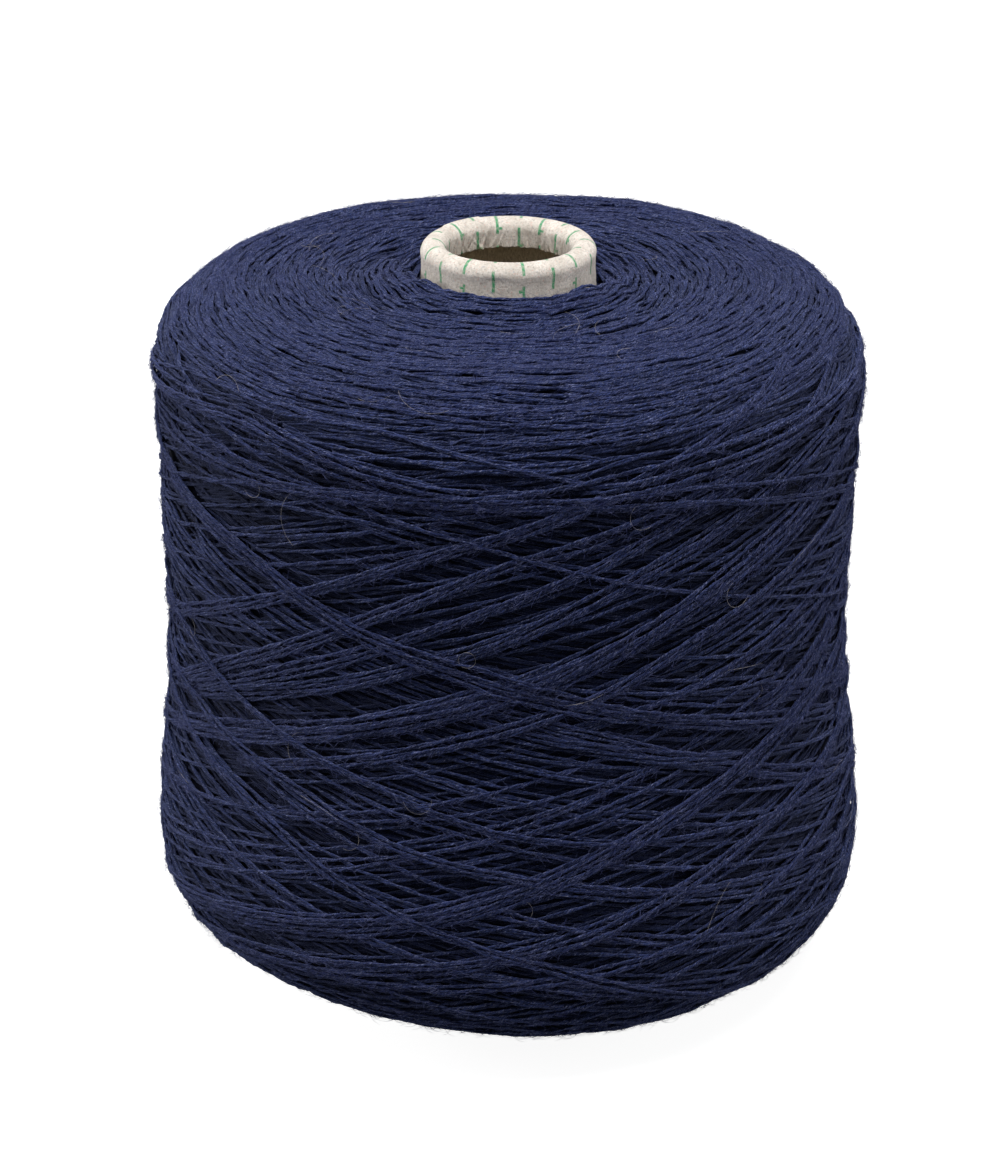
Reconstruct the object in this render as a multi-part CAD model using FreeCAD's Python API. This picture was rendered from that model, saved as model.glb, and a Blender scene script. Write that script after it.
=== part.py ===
import FreeCAD, Part
import math
import os

# A cone of knitting yarn: woolly yarn cross-wound on a tapered paper cone.
# Millimetres. The origin is the centre of the cone's base rim, and +Z runs along the axis
# towards the nose. Every profile is drawn in the XZ plane (X is the radius) and revolved.

# ---- Paper cone ----
CONE_LENGTH = 170.0           # base rim to the crest of the nose
CONE_TAPER = 4.0 + 20.0 / 60  # half angle of the cone, degrees
BASE_RADIUS = 31.0            # outside of the wall at the base rim
BOARD_WALL = 1.7              # wound board, all plies together
BOARD_PLIES = 3               # turns that the board blank makes on the mandrel
COVER_WALL = 0.3              # pale paper glued over the board
FOLD_RADIUS = 0.68            # inside of the nose's fold, between wall and hem
NOSE_FLARE = 0.42             # how far the rolled nose stands out from the wall
NECK_ROUND = 4.0              # hollow that runs from the wall into the nose
HEM_LAND = 3.5                # straight part of the turned-in hem, below the fold
COVER_SETBACK = 0.6           # the ground base edge, where the cover stops above the board
LAP_WIDTH = 9.0               # glued lap of the cover along the cone
LAP_TURN = 128.0              # where the lap lies round the cone, degrees
START_TURN = 185.0            # where the innermost ply starts, degrees
NOTCH_WIDTH = 1.6             # slot in the base rim that holds the yarn's first end
NOTCH_DEPTH = 5.0
NOTCH_TURN = 70.0             # where the slot lies round the rim, degrees

# ---- Wound yarn ----
BASE_BARE = 10.0              # bare cone below the yarn
NOSE_BARE = 8.0               # bare cone above the yarn, nose included
FOOT_REACH = 79.7             # radius at the bulge above the bottom edge
WAIST_REACH = 75.8            # least radius of the side
WAIST_RISE = 52.0             # height of the waist above the bulge
SHOULDER_REACH = 76.6         # radius where the side meets the shoulder
FOOT_ROUND = 25.0             # rounding of the bottom edge
SHOULDER_ROUND = 19.2         # rounding of the shoulder
YARN_CLEARANCE = 0.05         # between the yarn's bore and the paper

TAPER = math.radians(CONE_TAPER)
OUTWARD = (math.cos(TAPER), math.sin(TAPER))   # square to the wall, pointing out
DOWNWARD = (math.sin(TAPER), -math.cos(TAPER))  # along the wall, towards the base
WALL = COVER_WALL + BOARD_WALL
FOLD_OUTER = FOLD_RADIUS + WALL
AXIS = FreeCAD.Vector(0, 0, 1)
ORIGIN = FreeCAD.Vector(0, 0, 0)


def at(radius, height):
    """A point of a profile."""
    return FreeCAD.Vector(radius, 0, height)


def line(start, end):
    return Part.LineSegment(start, end).toShape()


def arc(centre, radius, first, last):
    """An arc in the XZ plane from one angle to another, in radians from +X towards +Z."""
    points = []
    for angle in (first, (first + last) / 2, last):
        points.append(at(centre[0] + radius * math.cos(angle), centre[1] + radius * math.sin(angle)))
    return Part.Arc(*points).toShape()


def revolved(edges):
    """The solid that a closed profile sweeps round the axis."""
    face = Part.Face(Part.Wire(edges))
    return face.revolve(ORIGIN, AXIS, 360)


def turned(shape, degrees):
    """The shape turned round the cone's axis."""
    shape.rotate(ORIGIN, AXIS, degrees)
    return shape


def wall_radius(depth, height):
    """Radius of the straight wall, at a depth below its outside."""
    return BASE_RADIUS - depth / math.cos(TAPER) - height * math.tan(TAPER)


def fold_centre():
    """Centre of the nose's fold, which stands NOSE_FLARE proud of the wall."""
    height = CONE_LENGTH - FOLD_OUTER
    wall = BASE_RADIUS * OUTWARD[0]
    radius = (wall + NOSE_FLARE - FOLD_OUTER - height * OUTWARD[1]) / OUTWARD[0]
    return radius, height


def neck_centre():
    """Centre of the hollow that touches the wall and the fold."""
    centre = fold_centre()
    out = FOLD_OUTER + NECK_ROUND - NOSE_FLARE
    down = math.sqrt((FOLD_OUTER + NECK_ROUND) ** 2 - out ** 2)
    radius = centre[0] + out * OUTWARD[0] + down * DOWNWARD[0]
    height = centre[1] + out * OUTWARD[1] + down * DOWNWARD[1]
    return radius, height


def neck_foot(depth):
    """Where the straight wall ends and the neck's hollow starts."""
    centre = neck_centre()
    reach = NECK_ROUND + depth
    return at(centre[0] - reach * OUTWARD[0], centre[1] - reach * OUTWARD[1])


def hem_edge():
    """Height of the hem's cut edge."""
    return fold_centre()[1] - HEM_LAND


def cone_line(depth, start):
    """The cone's outline at a depth below its outside, from a height at the base up the wall,
    through the neck, over the nose and down the hem to its cut edge."""
    fold = fold_centre()
    neck = neck_centre()
    up = math.atan2(fold[1] - neck[1], fold[0] - neck[0]) % (2 * math.pi)
    out = up - math.pi
    foot = neck_foot(depth)
    hem = fold[0] - FOLD_OUTER + depth
    return [
        line(at(wall_radius(depth, start), start), foot),
        arc(neck, NECK_ROUND + depth, math.pi + TAPER, up),
        arc(fold, FOLD_OUTER - depth, out, math.pi),
        line(at(hem, fold[1]), at(hem, hem_edge())),
    ]


def ply(outer, inner, start):
    """A layer of the cone between two depths, its base edge at a height."""
    outside = cone_line(outer, start)
    inside = cone_line(inner, start)
    cut_edge = line(outside[-1].Vertexes[-1].Point, inside[-1].Vertexes[-1].Point)
    base_edge = line(at(wall_radius(outer, start), start), at(wall_radius(inner, start), start))
    return revolved(outside + [cut_edge] + inside[::-1] + [base_edge])


def strip(width, outer, inner, start):
    """A band of one ply's thickness on the straight wall, with parallel edges."""
    corners = [
        at(wall_radius(outer, start), start),
        neck_foot(outer),
        neck_foot(inner),
        at(wall_radius(inner, start), start),
    ]
    edges = [line(a, b) for a, b in zip(corners, corners[1:] + corners[:1])]
    band = Part.makeBox(2 * BASE_RADIUS, width, CONE_LENGTH, FreeCAD.Vector(0, -width / 2, 0))
    return revolved(edges).common(band)


def notch():
    """Cutter for the round-ended slot in the base rim."""
    reach = 2 * BASE_RADIUS
    slot = Part.makeBox(reach, NOTCH_WIDTH, NOTCH_DEPTH, FreeCAD.Vector(0, -NOTCH_WIDTH / 2, 0))
    end = Part.makeCylinder(NOTCH_WIDTH / 2, reach, at(0, NOTCH_DEPTH), FreeCAD.Vector(1, 0, 0))
    return turned(slot.fuse(end), NOTCH_TURN)


def start_edge():
    """The skived start of the innermost ply: a long wedge on the inside of the wall,
    one ply thick at its cut edge and fading into the wall along a flat."""
    top = hem_edge()
    depth = WALL + BOARD_WALL / BOARD_PLIES
    corners = [
        at(wall_radius(depth, 0), 0),
        at(BASE_RADIUS, 0),
        at(BASE_RADIUS, top),
        at(wall_radius(depth, top), top),
    ]
    edges = [line(a, b) for a, b in zip(corners, corners[1:] + corners[:1])]
    beyond = Part.Face(Part.Wire(edges)).extrude(FreeCAD.Vector(0, BASE_RADIUS, 0))
    bore = Part.makeCone(wall_radius(WALL, 0), wall_radius(WALL, top), top)
    return turned(bore.common(beyond), START_TURN)


def cone_board():
    """Brown board, wound three times round a tapered mandrel, its nose rolled inwards."""
    body = ply(COVER_WALL, WALL, 0)
    return body.fuse(start_edge()).removeSplitter().cut(notch())


def cone_cover_ply():
    """Pale paper over the board, lapped along one line and rolled in with the nose."""
    sheet = ply(0, COVER_WALL, COVER_SETBACK)
    lap = turned(strip(LAP_WIDTH, -COVER_WALL, 0, COVER_SETBACK), LAP_TURN)
    return sheet.fuse(lap).removeSplitter().cut(notch())


def cone_space():
    """The room that the paper cone takes in the yarn, lap included."""
    tip = neck_foot(-YARN_CLEARANCE)
    corners = [at(0, 0), at(wall_radius(-YARN_CLEARANCE, 0), 0), tip, at(0, tip.z)]
    core = revolved([line(a, b) for a, b in zip(corners, corners[1:] + corners[:1])])
    gap = 2 * YARN_CLEARANCE
    lap = strip(LAP_WIDTH + gap, -COVER_WALL - YARN_CLEARANCE, 0, 0)
    return core.fuse(turned(lap, LAP_TURN))


def package_side(foot, shoulder):
    """The side of the package: a smooth curve that draws in to the waist."""
    waist = at(WAIST_REACH, foot.z + WAIST_RISE)
    curve = Part.BSplineCurve()
    upright = [AXIS * (shoulder.z - foot.z)] * 3
    curve.interpolate(Points=[foot, waist, shoulder], Tangents=upright, TangentFlags=[True] * 3)
    return curve.toShape()


def yarn_package():
    """The wound yarn: flat ends, a full foot, a slight waist and a rounded shoulder."""
    bottom = BASE_BARE
    top = CONE_LENGTH - NOSE_BARE
    foot_centre = (FOOT_REACH - FOOT_ROUND, bottom + FOOT_ROUND)
    shoulder_centre = (SHOULDER_REACH - SHOULDER_ROUND, top - SHOULDER_ROUND)
    foot = at(FOOT_REACH, foot_centre[1])
    shoulder = at(SHOULDER_REACH, shoulder_centre[1])
    body = revolved([
        line(at(0, bottom), at(foot_centre[0], bottom)),
        arc(foot_centre, FOOT_ROUND, -math.pi / 2, 0),
        package_side(foot, shoulder),
        arc(shoulder_centre, SHOULDER_ROUND, 0, math.pi / 2),
        line(at(shoulder_centre[0], top), at(0, top)),
        line(at(0, top), at(0, bottom)),
    ])
    return body.cut(cone_space())


os.makedirs("parts", exist_ok=True)
for make in (cone_board, cone_cover_ply, yarn_package):
    piece = make()
    solids = piece.Solids
    piece = solids[0] if len(solids) == 1 else Part.makeCompound(solids)
    piece.exportStep(os.path.join("parts", make.__name__ + ".step"))
    print(make.__name__, len(solids), "solid,", round(piece.Volume), "mm3, valid", piece.isValid())

hem_radius = fold_centre()[0] - FOLD_OUTER
print("nose bore radius", round(hem_radius, 4), "from", round(hem_edge(), 4), "to", round(fold_centre()[1], 4))
print("base bore radius", round(wall_radius(WALL, 0), 3))
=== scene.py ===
import math
from collections import namedtuple

import bpy
import numpy as np
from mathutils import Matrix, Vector


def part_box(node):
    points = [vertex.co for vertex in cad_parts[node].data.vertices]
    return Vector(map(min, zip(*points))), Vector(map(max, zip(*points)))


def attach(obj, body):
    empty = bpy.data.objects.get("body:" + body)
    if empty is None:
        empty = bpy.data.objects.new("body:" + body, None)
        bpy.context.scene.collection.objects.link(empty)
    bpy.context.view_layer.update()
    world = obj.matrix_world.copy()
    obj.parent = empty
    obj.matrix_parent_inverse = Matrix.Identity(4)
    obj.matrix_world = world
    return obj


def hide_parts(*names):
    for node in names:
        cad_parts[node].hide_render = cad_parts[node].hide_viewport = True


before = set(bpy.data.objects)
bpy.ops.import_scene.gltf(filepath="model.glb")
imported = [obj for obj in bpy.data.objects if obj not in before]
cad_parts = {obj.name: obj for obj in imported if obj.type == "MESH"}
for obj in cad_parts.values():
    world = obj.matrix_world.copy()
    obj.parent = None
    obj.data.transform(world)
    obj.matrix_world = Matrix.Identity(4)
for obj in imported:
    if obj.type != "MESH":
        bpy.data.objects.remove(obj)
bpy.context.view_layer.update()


# ---- Board of the cone ----
# The cone is brown board, wound three times round a tapered mandrel and glued, with its nose
# rolled inwards. The frame's solid has the right shape, so it stays and gets its finish here.

MM = 0.001
CONE_TAPER = math.radians(4 + 20 / 60)     # half angle of the cone
BASE_RADIUS = 31.0 * MM                    # outside of the paper at the base rim
COVER_WALL = 0.3 * MM                      # the pale paper over the board
PLY_WALL = 0.567 * MM                      # one of the board's three plies


class Shade:
    """A socket among a material's nodes. Sums on it add Math nodes; node() adds any other node."""

    def __init__(self, tree, socket=None):
        self.tree = tree
        self.socket = socket

    def node(self, kind, settings=None, sockets=None, out=0):
        made = self.tree.nodes.new("ShaderNode" + kind)
        for name, value in (settings or {}).items():
            setattr(made, name, value)
        for name, value in (sockets or {}).items():
            if isinstance(value, Shade):
                self.tree.links.new(value.socket, made.inputs[name])
            else:
                made.inputs[name].default_value = value
        return Shade(self.tree, made.outputs[out] if made.outputs else None)

    def maths(self, operation, *others):
        return self.node("Math", {"operation": operation}, dict(enumerate((self, *others))))

    def mix(self, first, second, share):
        return self.node("Mix", {"data_type": "RGBA"}, {0: share, 6: first, 7: second}, out=2)

    def between(self, low, high):
        """0 below low, 1 above high and a smooth step from one to the other."""
        sockets = {"Value": self, "From Min": low, "From Max": high}
        return self.node("MapRange", {"interpolation_type": "SMOOTHSTEP"}, sockets)

    def parts(self):
        return [self.node("SeparateXYZ", None, {0: self}, out=axis) for axis in range(3)]

    def vector(self, x, y, z):
        return self.node("CombineXYZ", None, {0: x, 1: y, 2: z})

    def noise(self, place, scale, detail=3.0, rough=0.5):
        sockets = {"Vector": place, "Scale": scale, "Detail": detail, "Roughness": rough}
        return self.node("TexNoise", None, sockets)

    def __add__(self, other):
        return self.maths("ADD", other)

    __radd__ = __add__

    def __sub__(self, other):
        return self.maths("SUBTRACT", other)

    def __rsub__(self, other):
        return self.node("Math", {"operation": "SUBTRACT"}, {0: other, 1: self})

    def __mul__(self, other):
        return self.maths("MULTIPLY", other)

    __rmul__ = __mul__

    def __truediv__(self, other):
        return self.maths("DIVIDE", other)

    def __pow__(self, other):
        return self.maths("POWER", other)


def finish_named(name):
    """A new material and the start of its nodes."""
    material = bpy.data.materials.new(name)
    material.use_nodes = True
    material.node_tree.nodes.clear()
    return material, Shade(material.node_tree)


def screen(red, green, blue):
    """A colour from its red, green and blue on a screen, 0 to 255."""
    levels = [level / 255 for level in (red, green, blue)]
    return (*[x / 12.92 if x <= 0.04045 else ((x + 0.055) / 1.055) ** 2.4 for x in levels], 1.0)


def surfaced(start, bump_height, **sockets):
    """Ends a material: a Principled surface, its bump in millimetres and its output."""
    bump = start.node("Bump", None, {"Height": bump_height, "Distance": MM, "Strength": 1.0})
    names = {name.replace("_", " "): value for name, value in sockets.items()}
    surface = start.node("BsdfPrincipled", None, {**names, "Normal": bump})
    start.node("OutputMaterial", None, {"Surface": surface})


board_finish, board = finish_named("kraft_board")
place = board.node("TexCoord", out="Object")
x, y, z = place.parts()
radius = (x * x + y * y) ** 0.5
plies_deep = (BASE_RADIUS - z * math.tan(CONE_TAPER) - radius - COVER_WALL) / PLY_WALL
at_base_edge = 1 - (z / MM).between(0.15, 0.4)
seam = (1 - plies_deep.maths("PINGPONG", 0.5).between(0.02, 0.16)) * at_base_edge
arc = y.maths("ARCTAN2", x) * (BASE_RADIUS / MM)
pulp = board.noise(board.vector(arc, z / MM * 0.7, radius / MM), 1.6, 5.0, 0.62)
flecks = board.noise(place, 2600.0, 2.0, 0.5).between(0.6, 0.72)
brown = board.mix(screen(186, 172, 148), screen(230, 217, 194), pulp.between(0.3, 0.72))
brown = board.mix(brown, screen(104, 84, 60), flecks * 0.5)
brown = board.mix(brown, screen(72, 54, 36), seam * 0.8)
surfaced(
    board,
    pulp * 0.06 + flecks * 0.03 - seam * 0.12,
    Base_Color=brown,
    Roughness=0.93 - flecks * 0.08,
    Specular_IOR_Level=0.25,
)
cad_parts["cone_board"].data.materials.clear()
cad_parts["cone_board"].data.materials.append(board_finish)


# ---- Pale paper over the board ----
# One ply of pale recycled paper is glued over the board, lapped along one line and rolled in
# with the nose. Its turned-in hem is gathered in fine creases and torn ragged at its edge.

WHOLE = 2 * math.pi
FOLD_OUTER = 2.68 * MM                     # outside radius of the rolled nose
NOSE_FLARE = 0.42 * MM                     # how far the roll stands out from the wall
FOLD_Z = 170.0 * MM - FOLD_OUTER           # centre of the roll, below the cone's full length
FOLD_R = BASE_RADIUS + (
    (NOSE_FLARE - FOLD_OUTER - FOLD_Z * math.sin(CONE_TAPER)) / math.cos(CONE_TAPER)
)
NECK_DROP = 6.0 * MM                       # from the roll's centre down to the foot of the neck
NECK_MEETS = math.radians(-8)              # where on the roll the neck ends
HEM_LAND = 3.5 * MM                        # straight part of the turned-in hem
HEM_END = FOLD_Z - HEM_LAND
COVER_START = 0.6 * MM                     # height of the paper's lower edge
LAP_MIDDLE, LAP_WIDTH = math.radians(128), 9.0 * MM
CREASES, LUMPS, DENT_MIDDLE = 260, 90, math.radians(262)
TURNS = 680                                # columns of the paper's mesh round the cone
WALL_ROWS, NECK_ROWS, FOLD_ROWS, HEM_ROWS = 62, 6, 33, 15
INSIDE_STEP = 4                            # rows of the outside to one row of the inside
chance = np.random.default_rng(11)


def in_scene(name, data):
    """A new object, linked to the scene."""
    made = bpy.data.objects.new(name, data)
    bpy.context.scene.collection.objects.link(made)
    return made


def bell(away, width):
    """A bell-shaped rise: 1 in the middle, and lost at about twice its width."""
    return np.exp(-((away / width) ** 2))


def wavy(count, low, high, power=0.6):
    """A smooth random wave round the cone, from waves of low to high periods a turn."""
    wave = np.zeros(TURNS)
    for n in chance.integers(low, high + 1, count):
        wave += n ** -power * np.sin(n * turns + chance.uniform(0, WHOLE))
    return wave / np.abs(wave).max()


def from_turn(middle):
    """How far each column lies from a turn, the short way round."""
    return (turns - middle + math.pi) % WHOLE - math.pi


def paper_line(depth):
    """The paper's outline at a depth: up the wall, through the neck, over the nose, down the hem."""
    edge = [COVER_START, COVER_START + 0.25 * MM]
    heights = np.concatenate([edge, np.linspace(2 * MM, FOLD_Z - NECK_DROP, WALL_ROWS - 2)])
    radii = BASE_RADIUS - depth / math.cos(CONE_TAPER) - heights * math.tan(CONE_TAPER)
    wall = np.stack([radii, heights], -1)
    a = np.linspace(NECK_MEETS, math.pi, FOLD_ROWS + 1)[1:, None]
    fold = (FOLD_R, FOLD_Z) + (FOLD_OUTER - depth) * np.hstack([np.cos(a), np.sin(a)])
    low, high = wall[-1], fold[0]
    span = np.hypot(*(high - low))
    leave = np.array((-math.sin(CONE_TAPER), math.cos(CONE_TAPER))) * span
    arrive = np.array((-math.sin(NECK_MEETS), math.cos(NECK_MEETS))) * span
    t = np.linspace(0, 1, NECK_ROWS + 2)[1:-1, None]
    neck = low * (1 - 3 * t ** 2 + 2 * t ** 3) + high * (3 * t ** 2 - 2 * t ** 3)
    neck = neck + leave * (t - 2 * t ** 2 + t ** 3) + arrive * (t ** 3 - t ** 2)
    drop = np.linspace(0, HEM_LAND, HEM_ROWS + 1)[1:]
    hem = np.stack([np.full(HEM_ROWS, FOLD_R - FOLD_OUTER + depth), FOLD_Z - drop], -1)
    return np.concatenate([wall, neck, fold, hem])


def lathe(name, outline, round_turns, out, up):
    """A closed mesh swept round the axis from a loop of (radius, height) points. Each of its
    (row, column) points is moved by an array of shifts out and one of shifts up."""
    rows, columns = len(outline), len(round_turns)
    r, h = outline[:, :1] + out, outline[:, 1:] + up
    points = np.stack([r * np.cos(round_turns), r * np.sin(round_turns), h], -1).reshape(-1, 3)
    row, column = np.meshgrid(np.arange(rows), np.arange(columns), indexing="ij")
    ahead, beyond = (column + 1) % columns, (row + 1) % rows
    corners = [(row, column), (row, ahead), (beyond, ahead), (beyond, column)]
    quads = np.stack([down * columns + across for down, across in corners], -1)
    made = bpy.data.meshes.new(name)
    made.from_pydata(points.tolist(), [], quads.reshape(-1, 4).tolist())
    made.polygons.foreach_set("use_smooth", [True] * len(made.polygons))
    made.update()
    return in_scene(name, made)


turns = np.linspace(0, WHOLE, TURNS, endpoint=False)
outside = paper_line(0.0)
inside = paper_line(COVER_WALL * 0.85)[::-INSIDE_STEP]
paper_run = np.concatenate([[0], np.cumsum(np.hypot(*np.diff(outside, axis=0).T))])
neck_run, edge_run = paper_run[WALL_ROWS - 1], paper_run[-1]
# These go from 0 to 1: from the neck to the cut edge, and from the crest to the cut edge.
past_wall = np.clip((paper_run - neck_run) / (edge_run - neck_run), 0, 1)[:, None]
on_hem = np.clip((past_wall - 0.62) / 0.38, 0, 1)
normals = np.gradient(outside, axis=0)
normals = np.stack([normals[:, 1], -normals[:, 0]], -1)
normals /= np.hypot(*normals.T)[:, None]

swell = wavy(7, 2, 7) * 0.10 * MM
crease = np.zeros((len(outside), TURNS))
for _ in range(CREASES):
    middle, slant = chance.uniform(0, WHOLE), chance.normal(0, 0.15)
    width, height, start = chance.uniform(0.012, 0.04), chance.uniform(0.06, 0.2), chance.uniform(0, 0.3)
    grown = np.clip((on_hem - start) / (1 - start), 0, 1) ** 0.8
    crease += height * grown * bell(from_turn(middle + slant * on_hem), width) * chance.choice([1, -0.8])
lumps = np.zeros((len(outside), TURNS))
for _ in range(LUMPS):
    middle, up_run = chance.uniform(0, WHOLE), chance.uniform(0, 1)
    height, width = chance.normal(0, 0.035), chance.uniform(0.05, 0.16)
    lumps += height * bell(from_turn(middle), width) * bell(past_wall - up_run, 0.09)
dent = 0.22 * bell(from_turn(DENT_MIDDLE), 0.16) * bell(past_wall - 0.30, 0.05)
stands_out = (past_wall > 0) * (swell + (crease + lumps - dent) * MM)
lap = (np.abs(from_turn(LAP_MIDDLE)) * outside[:, :1] < LAP_WIDTH / 2) * COVER_WALL
stands_out = stands_out + lap * (1 - 0.5 * past_wall)
torn = (wavy(40, 12, 90, 0.4) * 0.28 + wavy(60, 90, 300, 0.2) * 0.16) * MM

still = np.zeros((len(inside), TURNS))
shift_out = np.concatenate([stands_out * normals[:, :1], still])
shift_up = np.concatenate([stands_out * normals[:, 1:] + on_hem ** 4 * torn, still])
by_edge = (inside[:, 0] < FOLD_R) & (inside[:, 1] < HEM_END + 0.4 * HEM_LAND)
shift_up[len(outside):][by_edge] += torn * (1 - (inside[by_edge, 1:] - HEM_END) / HEM_LAND)
cover = lathe("cone_cover", np.concatenate([outside, inside]), turns, shift_out, shift_up)

# The paper's map: turns round the cone, and its run from the base edge.
RUN_UNIT = 200                             # mm of run to 1 in the map
run_of_row = np.concatenate([paper_run, paper_run[::-INSIDE_STEP]]) / MM / RUN_UNIT
corner = np.empty(len(cover.data.loops), np.int64)
cover.data.loops.foreach_get("vertex_index", corner)
turn_of = turns[corner % TURNS]
on_last_column = turn_of.reshape(-1, 4).max(1).repeat(4) > 6
turn_of = np.where((turn_of < 0.1) & on_last_column, turn_of + WHOLE, turn_of)
paper_map = cover.data.uv_layers.new(name="paper")
paper_map.data.foreach_set("uv", np.stack([turn_of / WHOLE, run_of_row[corner // TURNS]], -1).ravel())

# The slot in the base rim is cut through the paper as through the board.
SLOT_HALF, SLOT_DEPTH, SLOT_TURN = 0.8 * MM, 5 * MM, math.radians(70)
ring = [(-SLOT_HALF, -1 * MM), (SLOT_HALF, -1 * MM)]
for a in np.linspace(0, math.pi, 13):
    ring.append((SLOT_HALF * math.cos(a), SLOT_DEPTH + SLOT_HALF * math.sin(a)))
count = len(ring)
slot_points = [(reach, across, up) for reach in (25 * MM, 35 * MM) for across, up in ring]
slot_faces = [[n, (n + 1) % count, count + (n + 1) % count, count + n] for n in range(count)]
slot_faces += [list(range(count))[::-1], list(range(count, 2 * count))]
slot_mesh = bpy.data.meshes.new("slot_cutter")
slot_mesh.from_pydata(slot_points, [], slot_faces)
cutter = in_scene("slot_cutter", slot_mesh)
cutter.rotation_euler.z = SLOT_TURN
cut = cover.modifiers.new("slot", "BOOLEAN")
cut.object = cutter
cut.solver = "EXACT"
bpy.context.view_layer.update()
cut_mesh = bpy.data.meshes.new_from_object(cover.evaluated_get(bpy.context.evaluated_depsgraph_get()))
cover.modifiers.clear()
cover.data = cut_mesh
bpy.data.objects.remove(cutter)

cover_finish, paper = finish_named("recycled_paper")
u, v, _ = paper.node("UVMap", {"uv_map": "paper"}).parts()
run_mm = v * RUN_UNIT
place = paper.node("TexCoord", out="Object")
x, y, _ = place.parts()
fibre = paper.noise(place, 1800.0, 4.0, 0.6)
mottle = paper.noise(place, 260.0, 3.0, 0.55)
pale = paper.mix(screen(202, 194, 184), screen(224, 216, 207), mottle.between(0.3, 0.7))
pale = paper.mix(pale, screen(176, 166, 154), (1 - fibre.between(0.38, 0.56)) * 0.5)
FLECKS = [      # pink, grey and blue: the pattern's shift and scale, how rare, colour and strength
    ((0.0, 0.0, 0.0), 2300.0, (0.63, 0.72), screen(205, 160, 146), 0.55),
    ((0.3, 0.1, 0.2), 2600.0, (0.62, 0.72), screen(140, 134, 126), 0.6),
    ((0.9, 0.5, 0.7), 2500.0, (0.66, 0.74), screen(150, 158, 170), 0.5),
]
for shift, scale, rare, colour, strength in FLECKS:
    shifted = place.node("VectorMath", {"operation": "ADD"}, {0: place, 1: shift})
    pale = paper.mix(pale, colour, paper.noise(shifted, scale, 1.0, 0.4).between(*rare) * strength)

# Green dashes are printed in columns round the cone. Every second column is half a step off,
# and every second dash has a small tick on its left.
MARKS, PERIOD = 18, 7.2                    # columns round the cone, and mm from dash to dash
crest_run = paper_run[outside[:, 1].argmax()] / MM
column = u * MARKS + (paper.noise(place, 150.0, 2.0, 0.5) - 0.5) * 0.08
column_number = column.maths("ROUND")
across = (column - column_number) * (WHOLE / MARKS) * (x * x + y * y) ** 0.5 / MM
dash = (run_mm - crest_run + 1.4) / PERIOD + (column_number / 2).maths("FRACT")
dash_number = dash.maths("ROUND")
along = (dash - dash_number) * PERIOD + (paper.noise(place, 90.0, 1.0, 0.4) - 0.5) * 1.6
ticked = ((dash_number + 100) / 2).maths("FRACT") * 2     # 100 keeps the number above zero
stroke = 1 - across.maths("ABSOLUTE").between(0.2, 0.42)
stroke = stroke * (1 - along.maths("ABSOLUTE").between(2.2, 2.6))
tick = 1 - (across + 0.45).maths("ABSOLUTE").between(0.5, 0.72)
tick = tick * (1 - (along - 1.35).maths("ABSOLUTE").between(0.2, 0.4)) * ticked
ink = stroke.maths("MAXIMUM", tick) * (0.5 + fibre.between(0.35, 0.6) * 0.5)
near_nose = run_mm.between(neck_run / MM - 14, neck_run / MM - 10)
pale = paper.mix(pale, screen(40, 142, 92), ink * 0.95 * near_nose)
# A faint brownish band along the torn edge, with darker streaks down to it that are painted shade of the
# hem's creases.
near_edge = run_mm.between(edge_run / MM - 2.6, edge_run / MM + 0.4)
crease_shade_streak = paper.noise(paper.vector(u * 170, run_mm * 0.25, 0.0), 1.0, 3.0, 0.6)
pale = paper.mix(pale, screen(142, 126, 100), near_edge * (0.08 + crease_shade_streak.between(0.35, 0.7) * 0.5))
surfaced(
    paper,
    fibre * 0.1 + mottle * 0.16,
    Base_Color=pale,
    Roughness=0.9 - fibre * 0.05,
    Specular_IOR_Level=0.25,
    Sheen_Weight=0.08,
)
cover.data.materials.clear()
cover.data.materials.append(cover_finish)
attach(cover, "root")
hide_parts("cone_cover_ply")


# ---- Winding ----
# One strand of two-ply woolly yarn is cross-wound on the cone: up and down the side in ribbons
# of near-parallel turns, and round the two ends, where the strand turns back.

# The package's radii and roundings, in millimetres like all the sizes of the winding.
FOOT_REACH, WAIST_REACH, SHOULDER_REACH = 79.7, 75.8, 76.6
FOOT_ROUND, SHOULDER_ROUND = 25.0, 19.2
WAIST_RISE = 52.0                          # from the foot's bulge up to the waist
SIDE_RADIUS = 76.5                         # of the side all over, for slopes
package_low, package_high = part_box("yarn_package")
BOTTOM, TOP = package_low.z / MM, package_high.z / MM
WAIST = BOTTOM + FOOT_ROUND + WAIST_RISE
STEP = 0.35                                # rows of the winding's grid along the outline
COLUMNS = 1376                             # its columns round the axis


def beside_cone(height, clear):
    """The radius at a height that is a little clear of the cone's wall."""
    return BASE_RADIUS / MM + clear - height * math.tan(CONE_TAPER)


def upright_curve(start, end, count):
    """A curve between two (radius, height) points that leaves and arrives upright."""
    t = np.linspace(0, 1, count)
    ease = t * t * (3 - 2 * t)
    return np.stack([start[0] + (end[0] - start[0]) * ease, start[1] + (end[1] - start[1]) * t], -1)


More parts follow.
